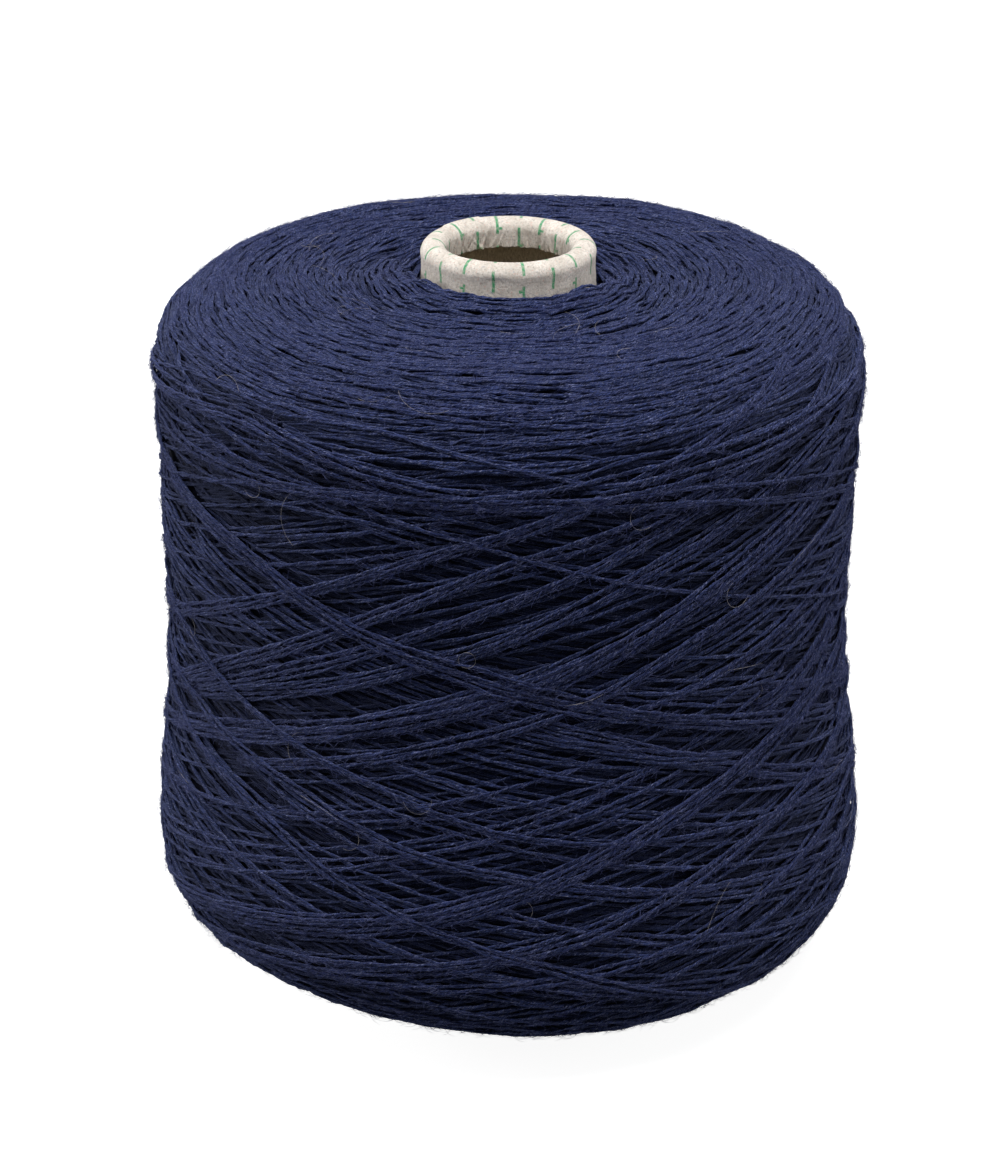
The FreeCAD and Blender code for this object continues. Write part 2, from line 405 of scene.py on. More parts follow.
def package_outline():
    """The package's outline, from the cone at the bottom round to the cone at the top: the
    length up to each point, its radius and its height."""
    foot, shoulder = FOOT_REACH - FOOT_ROUND, SHOULDER_REACH - SHOULDER_ROUND
    a = np.linspace(-math.pi / 2, 0, 60)
    b = np.linspace(0, math.pi / 2, 60)
    points = np.concatenate([
        [(beside_cone(BOTTOM, 0.2), BOTTOM)],
        np.stack([foot + FOOT_ROUND * np.cos(a), BOTTOM + FOOT_ROUND * (1 + np.sin(a))], -1),
        upright_curve((FOOT_REACH, BOTTOM + FOOT_ROUND), (WAIST_REACH, WAIST), 60)[1:],
        upright_curve((WAIST_REACH, WAIST), (SHOULDER_REACH, TOP - SHOULDER_ROUND), 60)[1:],
        np.stack([shoulder + SHOULDER_ROUND * np.cos(b), TOP + SHOULDER_ROUND * (np.sin(b) - 1)], -1)[1:],
        [(beside_cone(TOP, 0.3), TOP)],
    ])
    reach = np.concatenate([[0], np.cumsum(np.hypot(*np.diff(points, axis=0).T))])
    s = np.arange(0, reach[-1], STEP)
    return s, np.interp(s, reach, points[:, 0]), np.interp(s, reach, points[:, 1])


s_line, r_line, z_line = package_outline()
slope = np.stack([np.gradient(r_line), np.gradient(z_line)], -1)
slope /= np.hypot(*slope.T)[:, None]
out_r, out_z = slope[:, 1], -slope[:, 0]   # which way is out, all along the outline


def settled(s, turn):
    """How far the settled package stands out of its outline, at places along it and turns."""
    right, back = np.cos(turn), np.sin(turn)
    from_nose = s_line[-1] - s
    # It is heaped in front of the nose and left of it, and sunk beside it and behind.
    heap = 1.25 * np.clip(0.5 - 2.5 * back, 0, 1) * bell(from_nose, 12)
    close = 1.45 * np.clip(0.9 - 2.5 * back, 0, 1) + 1.5 * np.clip((-right - 0.66) / 0.2, 0, 1)
    hollow = 3.2 * np.abs(right) ** 7 + 1.0 * np.clip(back, 0, 1)
    out = heap + close * bell(from_nose, 6) - hollow * bell(from_nose, 5)
    # On both sides of the nose it is rumpled.
    rumple = np.sin(14 * turn + 0.55 * from_nose + 2 * np.sin(3 * turn)) * bell(from_nose, 16)
    out = out + 0.5 * rumple * np.clip(1.4 * np.abs(right) - 0.3, 0, 1)
    # The foot leans to the right, both sides of the foot are full, and so is the left shoulder.
    out = out + 2.3 * right * bell(s - 39, 12)
    out = out + 1.4 * right ** 2 * bell(s - 51, 7)
    out = out + 1.4 * np.clip(-right, 0, 1) ** 2 * bell(s - 180, 6)
    # All of it is a little out of round.
    out = out + 0.25 * np.sin(2 * turn + 0.7) + 0.18 * np.sin(5 * turn + s * 0.045)
    return out + 0.15 * np.sin(3 * turn - s * 0.06)


HALF_ACROSS = 0.49             # half the strand's width
PRESSED = 0.29                 # half the room that a strand takes under the next ones
PULL = 0.045                   # how sharply a taut strand comes down past what it crosses, per mm
HANGS, HANG_STEP = 11.0, 0.5   # how far that is looked for along the strand, and how finely
STAND = 0.5                    # how far a strand may stand over its neighbourhood unpressed
END_SINKS = 9.0                # length over which a strand's ends go down out of sight
FAR_BELOW = -9.0
BLOCK = 8                      # cells to a side of the blocks that hold the neighbourhood's level
LEVEL_EVERY = 20               # strands from one look at that level to the next
HEIGHTS = np.zeros((len(s_line), COLUMNS))
OWNER = np.full((len(s_line), COLUMNS), -1)      # the number of the strand on top of each cell
chance = np.random.default_rng(5)
laid = []


def neighbourhood():
    """The winding's level, averaged over blocks and their neighbours."""
    rows = len(s_line) // BLOCK
    blocks = HEIGHTS[:rows * BLOCK].reshape(rows, BLOCK, COLUMNS // BLOCK, BLOCK).mean((1, 3))
    tall = np.pad(blocks, ((1, 1), (0, 0)), mode="edge")
    blocks = (tall[:-2] + tall[1:-1] + tall[2:]) / 3
    blocks = (blocks + np.roll(blocks, 1, 1) + np.roll(blocks, -1, 1)) / 3
    return np.pad(blocks, ((0, 1), (0, 0)), mode="edge")


def taut(under, spacing):
    """The height of a strand pulled tight over what lies under it."""
    stride = max(1, round(HANG_STEP / spacing))
    strides = range(stride, min(int(HANGS / spacing), len(under) - 1), stride)
    lifted = under.copy()
    for n in strides:
        drop = 0.5 * PULL * (n * spacing) ** 2
        np.maximum(lifted[n:], under[:-n] - drop, out=lifted[n:])
        np.maximum(lifted[:-n], under[n:] - drop, out=lifted[:-n])
    pulled = lifted.copy()
    for n in strides:
        rise = 0.5 * PULL * (n * spacing) ** 2
        np.minimum(pulled[n:], lifted[:-n] + rise, out=pulled[n:])
        np.minimum(pulled[:-n], lifted[n:] + rise, out=pulled[:-n])
    return pulled


def eased(values, over, room, ease):
    """Values pressed in where they are over a limit: what is over it grows up to room alone."""
    return np.where(over > 0, values - over + room * np.tanh(over / ease), values)


def blurred(values, weights):
    """Values along a strand, each averaged with its neighbours by an odd number of weights."""
    padded = np.pad(values, len(weights) // 2, mode="edge")
    return np.convolve(padded, weights / weights.sum(), "valid")


def even_weights(length, spacing):
    return np.ones(max(3, int(length / spacing) | 1))


def on_grid(first_column, s):
    """A strand's columns and rows on the grid, its radii, and the spacing of its points."""
    columns = (first_column + np.arange(len(s))) % COLUMNS
    cell = np.clip((s / STEP).round().astype(int), 3, len(s_line) - 4)
    radius = np.interp(s, s_line, r_line)
    return columns, cell, radius, float(np.mean(radius)) * WHOLE / COLUMNS


def lay(first_column, s, sink, kind="side", fat=1.0, stand=STAND):
    """Winds a strand on the package. It passes one grid column after another from the first
    one, at the places s along the outline, and its two ends go down out of sight by sink."""
    s = np.clip(s, 2 * STEP, s_line[-1] - STEP)
    columns, cell, radius, spacing = on_grid(first_column, s)
    lean = np.gradient(s) / (radius * WHOLE / COLUMNS)
    upright = 1 / np.sqrt(1 + lean ** 2)
    strip = []
    for d in range(-2, 3):
        away = ((cell + d) * STEP - s) * upright / HALF_ACROSS
        strip.append((cell + d, np.abs(away), PRESSED * np.sqrt(np.clip(1 - away ** 2, 0, 1))))
    under = np.full(len(s), FAR_BELOW)
    for row, away, bulge in strip:
        under = np.maximum(under, np.where(away < 1.05, HEIGHTS[row, columns] + bulge, FAR_BELOW))
    height = taut(under, spacing)
    if len(laid) % LEVEL_EVERY == 0:
        around_level[:] = neighbourhood()
    proud = height - around_level[cell // BLOCK, columns // BLOCK] - stand
    height = eased(height, proud, 0.38, 0.6)
    height = blurred(height, even_weights(1.4 if kind == "side" else 2.6, spacing))
    x = np.arange(len(s))
    near_end = np.clip(1 - np.minimum(x, x[::-1]) / max(4, int(END_SINKS / spacing)), 0, 1)
    height = height - sink * near_end ** 2
    for row, away, bulge in strip:
        top = height + bulge
        before = HEIGHTS[row, columns]
        takes = (away < 0.8) | ((away < 1.0) & (top > before))
        HEIGHTS[row, columns] = np.where(takes, top, before)
        OWNER[row, columns] = np.where(takes, len(laid), OWNER[row, columns])
    laid.append({"first": first_column, "s": s, "h": height, "kind": kind, "fat": fat})


around_level = neighbourhood()


def smooth_run(knots, count):
    """A smooth curve through equally spaced values."""
    x = np.linspace(0, len(knots) - 1.001, count)
    n = x.astype(int)
    t = x - n
    ease = t * t * (3 - 2 * t)
    return knots[n] * (1 - ease) + knots[np.minimum(n + 1, len(knots) - 1)] * ease


def wander(count, length, reach, size):
    """A smooth random drift over a length, with bends about reach apart."""
    return smooth_run(chance.normal(0, size, max(4, int(length / reach) + 3)), count)


def emptiest(tries):
    """Of some (first column, places) that a strand may take, the one where least lies already."""
    def fullness(one):
        columns = (one[0] + np.arange(0, len(one[1]), 7)) % COLUMNS
        cells = np.clip((one[1][::7] / STEP).astype(int), 0, len(s_line) - 1)
        here = HEIGHTS[cells, columns]
        lacking = np.minimum(here - around_level[cells // BLOCK, columns // BLOCK] + 0.3, 0)
        return 0.25 * here.mean() - 0.5 * (lacking ** 2).mean()
    return min(tries, key=fullness)


def outline_at(radius, height):
    """The place along the outline that is nearest to a radius and a height."""
    return s_line[np.argmin((r_line - radius) ** 2 + (z_line - height) ** 2)]


s_foot_in = outline_at(FOOT_REACH - FOOT_ROUND, BOTTOM)
s_foot = outline_at(FOOT_REACH, BOTTOM + FOOT_ROUND)
s_shoulder = outline_at(SHOULDER_REACH, TOP - SHOULDER_ROUND)
s_shoulder_in = outline_at(SHOULDER_REACH - SHOULDER_ROUND, TOP)
s_end = s_line[-1]
PATCH = 11.0                   # neighbours lean alike over patches of this length
lean_of_patch = chance.normal(0, 1, (8, 12))


def arcs(first, last, count, kind, lengths, leans):
    """Near-level stretches of the strand between two places along the outline: the turns round an
    end of the package. Neighbours lean alike by leans[0] degrees, and each by leans[1] of its own."""
    span = np.linspace(first, last, 400)
    share = np.cumsum(np.interp(span, s_line, r_line) ** 0.7)
    for _ in range(count):
        tries = []
        for _ in range(6):
            middle = np.interp(chance.uniform(0, 1), share / share[-1], span)
            r = float(np.interp(middle, s_line, r_line))
            length = chance.uniform(*lengths)
            cells = max(8, int(length / (r * WHOLE / COLUMNS)))
            start = int(chance.integers(COLUMNS))
            patch = lean_of_patch[int(middle / PATCH) % 8, int(start / COLUMNS * 12)]
            lean = math.tan(math.radians(leans[0] * patch + chance.normal(0, leans[1])))
            x = np.linspace(-0.5, 0.5, cells)
            tries.append((start, middle + x * length * lean + (x ** 2 - 0.08) * chance.normal(0, 1.6)))
        start, s = emptiest(tries)
        s = s + wander(len(s), 40, 6, 0.2 if kind == "top" else 0.12)
        lay(start, s, sink=0.8, kind=kind, fat=chance.uniform(1.0, 1.14))


def climb_rate(angle):
    """How far up the side a strand gets from column to column, at an angle in degrees."""
    return math.tan(math.radians(angle)) * SIDE_RADIUS * WHOLE / COLUMNS


# A level bed of crossing turns lies under everything that is laid later.
BED, BED_ANGLE = 116, 14.6
for way in (1, -1):
    for n in range(BED):
        s = np.arange(s_foot_in + 4, s_shoulder + 22, climb_rate(BED_ANGLE))[::way]
        start = int((n + chance.uniform(-0.15, 0.15)) / BED * COLUMNS)
        lay(start, s + wander(len(s), 480, 40, 0.25), sink=0)

# On it lie the turns round the two ends, and on those the turns close to the nose.
arcs(0.6, s_foot_in + 22, 2700, "bottom", (30, 80), (3.0, 1.5))
arcs(s_shoulder + 6, s_end - 0.5, 7000, "top", (18, 60), (5.0, 3.5))
for reach in (26, 20, 15, 11, 7):
    arcs(s_end - reach, s_end - 0.3, 90, "top", (14, 36), (2.5, 2.5))

TURN_WEIGHTS = np.hanning(61)              # rounds off the places where a strand turns back
WINDING_DRIFT = (900, 45, 0.3)             # length, reach and size of a long stretch's wander


def bight(turn, low, high, angle, dwell):
    """One trip of the strand up the side and down again, as its first column and its places
    along the outline. It starts at turn, runs from low up to high, goes round the shoulder for
    dwell turns and comes down."""
    climb = int((high - low) / climb_rate(angle))
    stay = int(dwell * COLUMNS)
    rest = smooth_run(chance.normal(0, 1.6, 5), stay) * np.sin(np.linspace(0, math.pi, stay))
    s = np.concatenate([np.linspace(low, high, climb), high + rest, np.linspace(high, low, climb)])
    return int(turn / WHOLE * COLUMNS) % COLUMNS, blurred(s, TURN_WEIGHTS)


RIBBONS, SINGLES, BEHIND = 58, 200, 26
for _ in range(RIBBONS):
    strands = int(chance.choice([2, 3, 5, 8, 11], p=[0.22, 0.25, 0.25, 0.18, 0.1]))
    tries = []
    for _ in range(24):
        turn = chance.uniform(0, WHOLE)
        low = chance.uniform(s_foot_in + 8, s_foot - 2)
        high = chance.uniform(s_shoulder - 2, s_shoulder + 20)
        angle, dwell = chance.normal(15.6, 1.2), chance.uniform(0.03, 0.5)
        tries.append((*bight(turn, low, high, angle, dwell), (turn, low, high, angle, dwell)))
    turn, low, high, angle, dwell = emptiest(tries)[2]
    gap = 1.0 / (math.sin(math.radians(angle)) * SIDE_RADIUS)
    for n in range(strands):
        start, s = bight(
            turn + n * gap * chance.uniform(1.0, 1.3),
            low + chance.normal(0, 2.5),
            high + chance.normal(0, 2.5),
            angle + chance.normal(0, 0.1),
            dwell + chance.normal(0, 0.01),
        )
        lay(start, s + wander(len(s), *WINDING_DRIFT), sink=1.2, fat=chance.uniform(0.92, 1.08))
    arcs(s_shoulder - 3, s_shoulder + 17, 3, "top", (60, 170), (2.0, 1.5))
    arcs(s_foot_in + 12, s_foot - 4, 2, "bottom", (60, 150), (2.0, 1.5))

# Single turns find the places where little lies yet.
for _ in range(SINGLES):
    tries = []
    for _ in range(40):
        low = chance.uniform(s_foot_in + 8, s_foot + 6)
        high = chance.uniform(s_shoulder - 8, s_shoulder + 14)
        turn, angle = chance.uniform(0, WHOLE), chance.normal(14.6, 2.0)
        tries.append(bight(turn, low, high, angle, chance.uniform(0.02, 0.3)))
    start, s = emptiest(tries)
    lay(start, s + wander(len(s), *WINDING_DRIFT), sink=1.2, fat=chance.uniform(0.92, 1.08))

# The last turns, which show whole: how many strands lie side by side, how far they may stand out
# in millimetres, and the turn in degrees and the height in millimetres that they pass through.
# Most of these places were worked out by another program, and weren't chosen by hand.
LAST_TURNS = [
    (4, 0.7, [(262, 97), (276, 91), (292, 83), (311, 73)]),
    (3, 0.7, [(200, 108), (225, 105), (245, 99), (262, 93)]),
    (3, 0.7, [(238, 117), (257, 128), (276, 137)]),
    (3, 0.7, [(248, 113), (268, 127), (291, 135)]),
    (3, 0.7, [(253, 109), (268, 118), (291, 130)]),
    (4, 0.7, [(216, 75), (235, 83), (253, 93), (268, 100), (284, 107)]),
    (4, 0.7, [(258, 105), (268, 110), (291, 124), (307, 131)]),
    (1, 0.7, [(250, 137), (264, 132), (276, 127), (290, 121), (314, 111), (339, 100)]),
    (3, 0.7, [(272, 92), (284, 97), (300, 107), (322, 116), (341, 122)]),
    (5, 0.7, [(250, 90), (262, 95), (276, 101), (291, 110), (309, 121), (330, 130)]),
    (4, 0.7, [(204, 128), (226, 121), (245, 110), (261, 104), (270, 100), (290, 92)]),
    (4, 1.5, [(190, 146), (215, 149), (226, 150), (245, 145), (262, 141), (285, 142), (320, 145)]),
    (1, 1.1, [(200, 142), (215, 144), (237, 140), (254, 141), (285, 141), (300, 141), (320, 135),
              (340, 127)]),
    (1, 0.7, [(206, 130), (227, 137), (246, 140), (268, 142), (283, 145), (300, 148), (320, 148)]),
    (2, 0.7, [(225, 139), (246, 139), (268, 140), (283, 139), (300, 137), (321, 130)]),
    (2, 0.7, [(226, 39), (250, 47), (268, 55), (285, 63)]),
    (2, 0.7, [(235, 81), (253, 74), (268, 68), (284, 64), (300, 62)]),
    (2, 0.7, [(205, 79), (219, 76), (235, 71), (253, 63), (268, 59), (290, 53)]),
    (2, 0.7, [(262, 32), (277, 34), (300, 38), (322, 46), (338, 51)]),
    (3, 0.7, [(255, 36), (268, 39), (284, 44), (300, 52), (323, 62), (334, 65)]),
    (4, 0.7, [(250, 45), (262, 49), (276, 56), (292, 65), (309, 73), (331, 81)]),
    (2, 0.7, [(205, 71), (225, 64), (245, 52), (261, 44), (277, 37), (292, 28), (303, 22), (317, 18)]),
]
turns_behind = []
for _ in range(BEHIND):
    way, first, span = chance.choice([1, -1]), chance.uniform(5, 95), chance.uniform(50, 100)
    rise = math.tan(math.radians(chance.normal(15, 1.5))) * SIDE_RADIUS * math.radians(span) * way
    middle = chance.uniform(45, 130)
    places = [(first, middle - rise / 2), (first + span, middle + rise / 2)]
    turns_behind.append((int(chance.integers(1, 6)), 0.7, places))

RUN_ON = 200                               # columns that a last turn runs on past its places
side_cells = (s_line > s_foot_in) & (s_line < s_shoulder_in)
for strands, stand, places in turns_behind + LAST_TURNS:
    turns_at = np.array([turn for turn, _ in places]) / 360 * COLUMNS
    up_at = np.interp([up for _, up in places], z_line[side_cells], s_line[side_cells])
    first_slope = (up_at[1] - up_at[0]) / (turns_at[1] - turns_at[0])
    last_slope = (up_at[-1] - up_at[-2]) / (turns_at[-1] - turns_at[-2])
    turns_at = np.concatenate([[turns_at[0] - RUN_ON], turns_at, [turns_at[-1] + RUN_ON]])
    up_at = np.concatenate([[up_at[0] - RUN_ON * first_slope], up_at, [up_at[-1] + RUN_ON * last_slope]])
    columns = np.arange(int(turns_at[0]), int(turns_at[-1]))
    s = blurred(np.interp(columns, turns_at, up_at), TURN_WEIGHTS)
    for n in range(strands):
        beside = (n - (strands - 1) / 2) * chance.uniform(1.0, 1.16)
        drift = wander(len(s), 300, 45, 0.3)
        fat = chance.uniform(0.95, 1.08)
        lay(int(columns[0]) % COLUMNS, s + beside + drift, sink=1.4, fat=fat, stand=stand)


def running_mean(padded, half):
    """Means down the first axis over half cells each way, of values padded by that many."""
    total = np.cumsum(np.concatenate([np.zeros_like(padded[:1]), padded]), axis=0)
    return (total[2 * half + 1:] - total[:-2 * half - 1]) / (2 * half + 1)


def evened(values, reach):
    """The winding's heights averaged over about reach millimetres each way, twice over."""
    down = int(reach / STEP)
    for _ in range(2):
        values = running_mean(np.pad(values, ((down, down), (0, 0)), mode="edge"), down)
        for row, radius in enumerate(r_line):
            wide = min(COLUMNS // 3, int(reach / (radius * WHOLE / COLUMNS)))
            values[row] = running_mean(np.pad(values[row], wide, mode="wrap"), wide)
    return values


def highest(values, reach):
    """The greatest of the winding's heights within reach millimetres."""
    for _ in range(int(reach / STEP)):
        values = np.maximum(values, np.maximum(np.roll(values, 1, 0), np.roll(values, -1, 0)))
        values = np.maximum(values, np.maximum(np.roll(values, 1, 1), np.roll(values, -1, 1)))
    return values


crests = evened(highest(HEIGHTS, 2.0), 4.0)      # where the highest strands lie, near the outline
ground = evened(HEIGHTS, 1.2)                    # the mean of all that lies near


# ---- Inner windings ----
# Under the strands that show, the package is the same yarn, imported solid and lost in shadow.
# One plain body stands for it, a strand or two below the surface, coloured near-black as painted shade.


def finish_yarn(piece, finish):
    """Gives a piece of the yarn its finish and its place in the part."""
    piece.data.materials.append(finish)
    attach(piece, "root")
    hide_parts("yarn_package")


CORE_ROWS, CORE_COLUMNS = 4, 8       # cells of the winding's grid to one cell of this mesh
CORE_NEAR = 1.3                      # how deep it lies under the winding round it
CORE_TOP, CORE_DEPTH = 0.9, 2.2      # the least and the most that it lies under the crests
core_s, core_turns = s_line[::CORE_ROWS], np.arange(0, COLUMNS, CORE_COLUMNS) / COLUMNS * WHOLE
core_line = np.stack([r_line, z_line], -1)[::CORE_ROWS]
core_out = np.stack([out_r, out_z], -1)[::CORE_ROWS]
sunk = 1.12 * (ground - crests)[::CORE_ROWS, ::CORE_COLUMNS] - CORE_NEAR
sunk = np.clip(sunk, -CORE_DEPTH, -CORE_TOP)
moved = (settled(core_s[:, None], core_turns[None, :]) + sunk) * MM
keep = core_line[:, 0] > beside_cone(core_line[:, 1], 0.5)
core_line, core_out, moved = core_line[keep], core_out[keep], moved[keep]
bore = [(beside_cone(TOP - CORE_DEPTH, 0.3), TOP), (beside_cone(BOTTOM, 0.3), BOTTOM)]
core_line = np.concatenate([core_line, bore]) * MM
core_out = np.concatenate([core_out, [(0, 1), (0, -1)]])
moved = np.concatenate([moved, moved[-1:], moved[:1]])
core = lathe("yarn_core", core_line, core_turns, moved * core_out[:, :1], moved * core_out[:, 1:])
core_finish, dark = finish_named("inner_windings_painted_shade")
x, y, z = dark.node("TexCoord", out="Object").parts()
wound = dark.vector(y.maths("ARCTAN2", x) * 20, (x * x + y * y) ** 0.5 * 900, z * 900)
rib = dark.noise(wound, 1.0, 3.0, 0.6)
# Painted shade: near-black navy, far darker than the yarn's own colour.
surfaced(
    dark,
    rib * 0.6,
    Base_Color=dark.mix(screen(1, 2, 12), screen(9, 12, 32), rib),
    Roughness=0.8 + rib * 0.15,
    Specular_IOR_Level=0.1,
)
finish_yarn(core, core_finish)


# ---- Strands that show ----
# The strands are drawn where they show: two plies twisted together, of slanting woolly fibres,
# pressed flat by the turns that lie over them. Those lying deep under the crests get painted shade.

DRAWN_STEP = 1.5               # from ring to ring of a drawn ply
PLY_SIDES = 5
PLY_HALF = 0.27                # half a ply's thickness
PLY_AROUND = 1.9               # the way round a ply
SIDE_SHARE = 0.19              # what one side of a ply takes of a row of the flat map
PLY_OUT = (0.23, 0.09)         # how far a ply lies from the strand's middle: across, and up
PITCH = 15.0                   # length of a full turn of the two plies
ROUGHNESS = 0.13               # unevenness of a woolly ply's thickness, as a share of it
PAST_SHOWN = 1.8               # length drawn past the place where a strand passes under another
SEATED = 0.38                  # how far the crests' middles lie below the outline
# What a strand's depth under the crests is multiplied by, and the depth of full painted shade.
RELIEF = {"side": (1.12, 0.95), "top": (0.6, 2.4), "bottom": (0.9, 2.0)}
PIECE_FACES = 190000           # triangles of sides, at most, in one piece
Run = namedtuple("Run", "points across out lengths fat deep")


def shown_runs(number):
    """The runs of a strand that show. A run is its points, the directions across it and out,
    the length up to each point, how fat it is and how much painted shade darkens it."""
    strand = laid[number]
    s, h = strand["s"], strand["h"]
    columns, cell, radius, spacing = on_grid(strand["first"], s)
    turn = (strand["first"] + np.arange(len(s))) / COLUMNS * WHOLE
    shows = np.any([OWNER[cell + d, columns] == number for d in range(-2, 3)], axis=0)
    shows = np.convolve(shows, np.ones(2 * int(PAST_SHOWN / spacing) + 1), "same") > 0.5
    under = OWNER[cell, columns] != number
    h = np.where(under, np.minimum(h, HEIGHTS[cell, columns] - 2 * PRESSED), h)
    h = eased(h, h - ground[cell, columns] - 0.45, 0.4, 0.4)
    h = blurred(h, even_weights(1.6, spacing))
    # Strands lie looser beside the nose and behind it, with deeper gaps between them and more painted
    # shade.
    loose = bell(s_end - s, 17) * (0.2 + 0.8 * np.clip(np.abs(np.cos(turn)) + np.sin(turn), 0, 1))
    slack = 1 + 1.3 * loose
    relief, full_shade_depth = RELIEF[strand["kind"]]
    out = h + PRESSED - crests[cell, columns]
    # Painted shade: a strand lying below the crests is darkened, the more the deeper it lies.
    deep = np.clip((-out - 0.35 + 0.15 * loose) * slack / full_shade_depth, 0, 1)
    out = np.where(out < 0, out * relief * slack, out)
    out = -eased(-out, -out - 1.1, 1.0, 1.3)
    out = eased(out, out - 0.05, 0.22, 0.3) + settled(s, turn) - SEATED
    normal_r, normal_z = np.interp(s, s_line, out_r), np.interp(s, s_line, out_z)
    r, z = radius + normal_r * out, np.interp(s, s_line, z_line) + normal_z * out
    points = np.stack([r * np.cos(turn), r * np.sin(turn), z], -1)
    normal = np.stack([normal_r * np.cos(turn), normal_r * np.sin(turn), normal_z], -1)
    stride = max(1, int(DRAWN_STEP / spacing))
    edges = np.flatnonzero(np.diff(np.concatenate([[0], shows.astype(int), [0]])))
    for begin, end in edges.reshape(-1, 2):
        if end - begin < 2 * stride:
            continue
        pick = np.unique(np.append(np.arange(begin, end - 1, stride), end - 1))
        p, n = points[pick], normal[pick]
        t = np.gradient(p, axis=0)
        t /= np.linalg.norm(t, axis=1)[:, None]
        b = np.cross(t, n)
        b /= np.linalg.norm(b, axis=1)[:, None]
        lengths = np.concatenate([[0], np.cumsum(np.linalg.norm(np.diff(p, axis=0), axis=1))])
        yield Run(p, b, np.cross(b, t), lengths, strand["fat"], deep[pick])


def tube_mesh(name, points, sizes, sides):
    """A mesh of many closed tubes, their rings in a row: sizes says how many each has. It comes
    with the number of the first ring of each stretch between two rings."""
    starts = np.cumsum(sizes) - sizes
    stretch = np.concatenate([np.arange(a, a + k - 1) for a, k in zip(starts, sizes)])
    side = np.arange(sides)
    ahead = (side + 1) % sides
    base = stretch[:, None] * sides
    quads = np.stack([base + side, base + ahead, base + sides + ahead, base + sides + side], -1)
    caps_low = starts[:, None] * sides + side[::-1]
    caps_high = (starts + sizes - 1)[:, None] * sides + side
    corners = np.concatenate([quads.ravel(), caps_low.ravel(), caps_high.ravel()])
    totals = np.concatenate([np.full(quads.size // 4, 4), np.full(2 * len(sizes), sides)])
    mesh = bpy.data.meshes.new(name)
    mesh.vertices.add(len(points))
    mesh.vertices.foreach_set("co", points.ravel())
    mesh.loops.add(len(corners))
    mesh.loops.foreach_set("vertex_index", corners)
    mesh.polygons.add(len(totals))
    mesh.polygons.foreach_set("loop_start", np.cumsum(totals) - totals)
    mesh.polygons.foreach_set("use_smooth", np.ones(len(totals), bool))
    mesh.update(calc_edges=True)
    return in_scene(name, mesh), stretch


def on_quads(u0, u1, v0, v1):
    """Where the four corners of quads lie in a map, from the places of each quad's edges."""
    u0, u1 = np.broadcast_to(u0, v0.shape), np.broadcast_to(u1, v0.shape)
    return np.stack([u0, v0, u0, v1, u1, v1, u1, v0], -1)


def strand_piece(name, runs):
    """One mesh of many runs of two plies each. Its map "wound" holds the length along a ply and
    the way round it, and its map "OFBake" lays every stretch flat in a place of its own."""
    sizes = np.array([len(run.points) for run in runs])
    p, b, n = (np.concatenate([run[k] for run in runs]) for k in range(3))
    fat = np.repeat([run.fat for run in runs], sizes)
    lengths = np.concatenate([run.lengths for run in runs])
    lengths = lengths + np.repeat(chance.uniform(0, 400, len(runs)), sizes)
    tint = np.repeat(chance.uniform(0, 1, len(runs)), sizes)
    deep = np.concatenate([run.deep for run in runs])
    twist = lengths / PITCH * WHOLE + 0.5 * np.sin(lengths * 0.21)
    around = np.arange(PLY_SIDES) / PLY_SIDES * WHOLE + twist[:, None]
    plies = []
    for half in (0, math.pi):
        c, s = np.cos(twist + half), np.sin(twist + half)
        middle = p + b * (c * PLY_OUT[0] * fat)[:, None] + n * (s * PLY_OUT[1] * fat)[:, None]
        thick = PLY_HALF * fat[:, None] * chance.normal(1, ROUGHNESS, (len(p), PLY_SIDES))
        ring = np.cos(around)[..., None] * b[:, None] + np.sin(around)[..., None] * n[:, None]
        plies.append(middle[:, None] + ring * thick[..., None])
    points = np.concatenate(plies).reshape(-1, 3) * MM
    piece, stretch = tube_mesh(name, points, np.tile(sizes, 2), PLY_SIDES)

    lengths, side = np.tile(lengths, 2)[:, None], np.arange(PLY_SIDES)
    v = side / PLY_SIDES + (stretch >= len(p))[:, None]
    wound = on_quads(lengths[stretch], lengths[stretch + 1], v, v + 1 / PLY_SIDES)
    in_row = int(math.sqrt(len(stretch) * PLY_AROUND / DRAWN_STEP))
    in_rows = math.ceil(len(stretch) / in_row)
    place = np.arange(len(stretch))[:, None]
    u, v = place % in_row / in_row, place // in_row / in_rows + side * SIDE_SHARE / in_rows
    flat = on_quads(u, u + 1 / in_row, v, v + SIDE_SHARE / in_rows)
    on_caps = np.zeros((2 * 2 * len(sizes) * PLY_SIDES, 2)).ravel()    # two plies, two ends each
    for layer, values in (("OFBake", flat), ("wound", wound)):
        uv = piece.data.uv_layers.new(name=layer)
        uv.data.foreach_set("uv", np.concatenate([values.ravel(), on_caps]))
    for layer, values in (("tint", tint), ("deep", deep)):
        shade = piece.data.attributes.new(layer, "FLOAT", "POINT")
        shade.data.foreach_set("value", np.repeat(np.tile(values, 2), PLY_SIDES))
    return piece


yarn_finish, yarn = finish_named("navy_woolly_yarn")
along, round_ply, _ = yarn.node("UVMap", {"uv_map": "wound"}).parts()
tint = yarn.node("Attribute", {"attribute_name": "tint"}, out="Fac")
deep = yarn.node("Attribute", {"attribute_name": "deep"}, out="Fac")
slant = round_ply - along / 2.6            # the fibres run slantwise round their ply
fibres = yarn.noise(yarn.vector(along * 0.6, slant * 7.5, tint * 90), 1.0, 2.0, 0.65)
tufts = yarn.noise(yarn.vector(along * 1.2, slant * 6, tint * 50), 1.0, 2.0, 0.65)
patch = yarn.noise(yarn.vector(along * 0.06, tint * 40, 0.0), 1.0, 2.0, 0.5)
navy = yarn.mix(screen(1, 7, 34), screen(56, 67, 112), fibres.between(0.4, 0.62))
navy = yarn.mix(navy, screen(136, 141, 176), tufts.between(0.57, 0.67) * 0.7)
navy = yarn.mix(navy, screen(22, 28, 64), (tint * 0.6 + patch * 0.6).between(0.4, 1.1) * 0.3)
